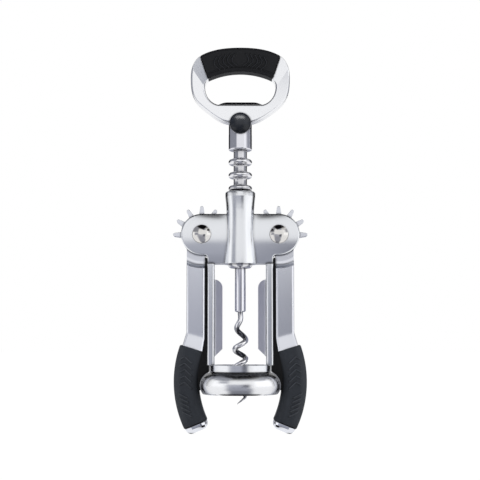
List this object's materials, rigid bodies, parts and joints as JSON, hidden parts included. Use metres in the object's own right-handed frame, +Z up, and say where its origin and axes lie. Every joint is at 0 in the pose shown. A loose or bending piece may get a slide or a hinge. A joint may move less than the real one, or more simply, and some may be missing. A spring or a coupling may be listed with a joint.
{
  "type": "wing corkscrew",
  "caption": "Wing corkscrew: bell and cork cage, geared levers with rubber grips, ringed rack, open worm, and a ring handle with a bottle opener.",
  "frame": {"origin": "centre of the bell's rim plane, on the worm's axis", "axes": "+Z up the worm's axis from the bell to the ring handle, X across the two levers, -Y the front"},
  "size_m": [0.0642, 0.0384, 0.185],
  "materials": {
    "body_chrome": "satin nickel-chrome plate on a zinc casting",
    "bell_chrome": "polished chrome plate on a pressed ring",
    "rivet_steel": "polished plated rivet",
    "rack_chrome": "polished plated steel turning",
    "spindle_chrome": "polished plated steel turning",
    "ring_steel": "spring steel",
    "worm_chrome": "bright polished plated wire",
    "pin_steel": "drawn steel pin",
    "cap_plastic": "glossy black moulding",
    "handle_chrome": "satin nickel-chrome plate on a zinc casting",
    "opener_steel": "darkened stamped steel",
    "lever_chrome": "satin nickel-chrome plate on a zinc casting",
    "grip_rubber": "matt black moulded rubber",
    "washer_plastic": "thin black washer"
  },
  "bodies": {
    "frame": {"body_casting": "body_chrome", "bell_ring": "bell_chrome", "left_pivot_rivet": "rivet_steel", "right_pivot_rivet": "rivet_steel"},
    "rack": {"rack_sleeve": "rack_chrome"},
    "spindle": {"spindle_shaft": "spindle_chrome", "spindle_retaining_ring": "ring_steel", "worm": "worm_chrome", "handle_cross_pin": "pin_steel", "front_button_cap": "cap_plastic", "rear_button_cap": "cap_plastic", "ring_handle": "handle_chrome", "ring_grip": "grip_rubber", "opener_insert": "opener_steel"},
    "left_lever": {"left_lever_arm": "lever_chrome", "left_lever_grip": "grip_rubber", "left_front_washer": "washer_plastic", "left_rear_washer": "washer_plastic"},
    "right_lever": {"right_lever_arm": "lever_chrome", "right_lever_grip": "grip_rubber", "right_front_washer": "washer_plastic", "right_rear_washer": "washer_plastic"}
  },
  "joints": [
    {"name": "rack_slide", "type": "slide", "parent": "frame", "child": "rack", "axis": [0, 0, -1], "range_m": [0, 0.0272]},
    {"name": "spindle_turn", "type": "hinge", "parent": "rack", "child": "spindle", "pos_m": [0, 0, 0.1165], "axis": [0, 0, -1], "continuous": true},
    {"name": "left_lever_swing", "type": "hinge", "parent": "frame", "child": "left_lever", "pos_m": [-0.0184, 0, 0.0757], "axis": [0, 1, 0], "range_deg": [0, 127.6]},
    {"name": "right_lever_swing", "type": "hinge", "parent": "frame", "child": "right_lever", "pos_m": [0.0184, 0, 0.0757], "axis": [0, -1, 0], "range_deg": [0, 127.6]}
  ],
  "couplings": [
    {"joint": "left_lever_swing", "follows": "rack_slide", "rad_per_m": 81.812},
    {"joint": "right_lever_swing", "follows": "rack_slide", "rad_per_m": 81.812}
  ]
}
